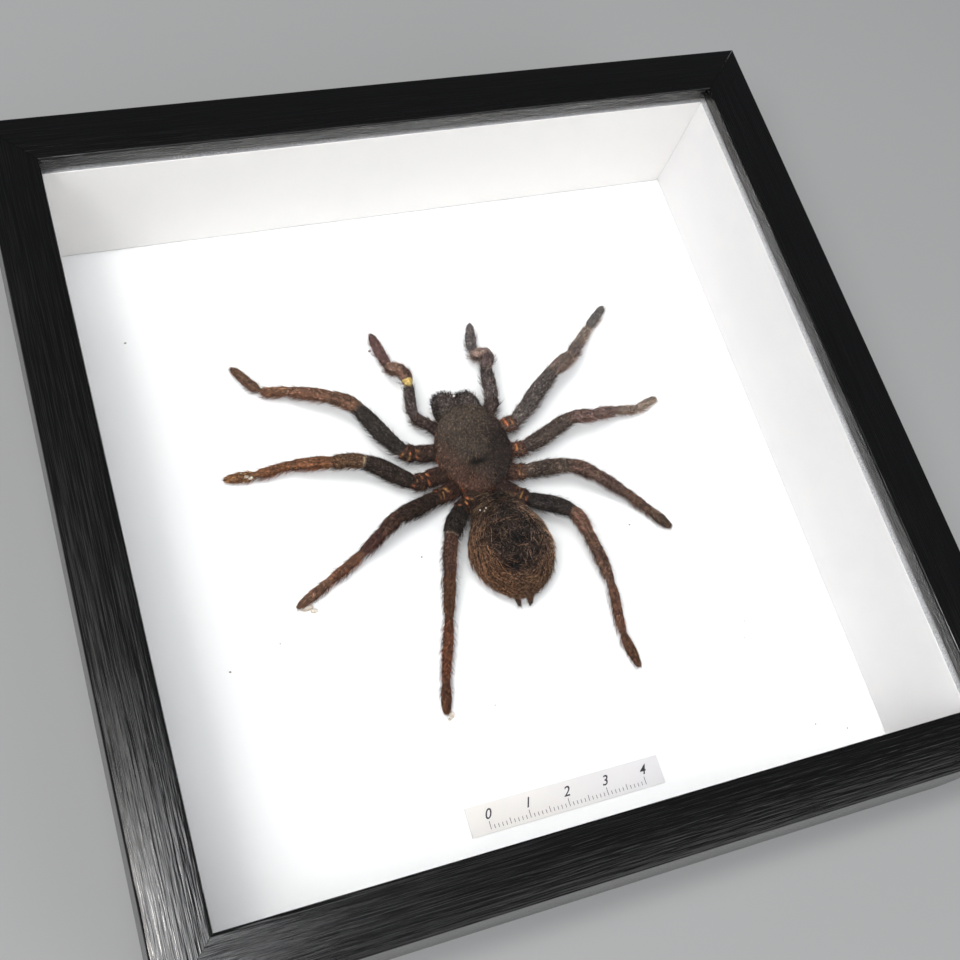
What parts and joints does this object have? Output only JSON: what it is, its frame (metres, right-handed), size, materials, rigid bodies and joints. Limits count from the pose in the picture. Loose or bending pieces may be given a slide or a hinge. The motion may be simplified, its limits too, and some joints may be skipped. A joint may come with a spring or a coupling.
{
  "type": "framed tarantula specimen",
  "caption": "Dried tarantula spread on a white card in a deep square black box frame with a glass front, a white liner and a small label.",
  "frame": {"origin": "the middle of the frame's back, which lies on the surface", "axes": "+Z points out through the glass, +Y to the top of the frame as it hangs, +X to its right seen from the front"},
  "size_m": [0.2, 0.2, 0.048],
  "materials": {
    "frame_foil": "fine-grained black foil on the frame bars, satin",
    "clear_glass": "clear, polished",
    "liner_board": "matt white board with a speckled raw edge",
    "white_card": "matt white card with a few dust specks",
    "hardboard": "brown hardboard, matt",
    "label_paper": "matt paper with dark printed numbers",
    "tab_steel": "thin zinc-grey steel",
    "spider_dark": "dried skin under velvety dark hair",
    "spider_brown": "dried skin under warm brown hair"
  },
  "bodies": {
    "root": {"rail_top": "frame_foil", "rail_bottom": "frame_foil", "rail_left": "frame_foil", "rail_right": "frame_foil", "glass_pane": "clear_glass", "liner_top": "liner_board", "liner_bottom": "liner_board", "liner_left": "liner_board", "liner_right": "liner_board", "mount_card": "white_card", "back_board": "hardboard", "name_label": "label_paper", "retaining_tab_1": "tab_steel", "retaining_tab_2": "tab_steel", "retaining_tab_3": "tab_steel", "retaining_tab_4": "tab_steel", "retaining_tab_5": "tab_steel", "retaining_tab_6": "tab_steel", "retaining_tab_7": "tab_steel", "retaining_tab_8": "tab_steel", "hanger_plate": "tab_steel", "hanger_ring": "tab_steel", "cephalothorax": "spider_dark", "chelicera_left": "spider_dark", "chelicera_right": "spider_dark", "abdomen": "spider_brown", "pedipalp_left": "spider_brown", "pedipalp_right": "spider_brown", "leg_left_1": "spider_brown", "leg_left_2": "spider_brown", "leg_left_3": "spider_brown", "leg_left_4": "spider_brown", "leg_right_1": "spider_brown", "leg_right_2": "spider_brown", "leg_right_3": "spider_brown", "leg_right_4": "spider_brown"}
  },
  "joints": []
}
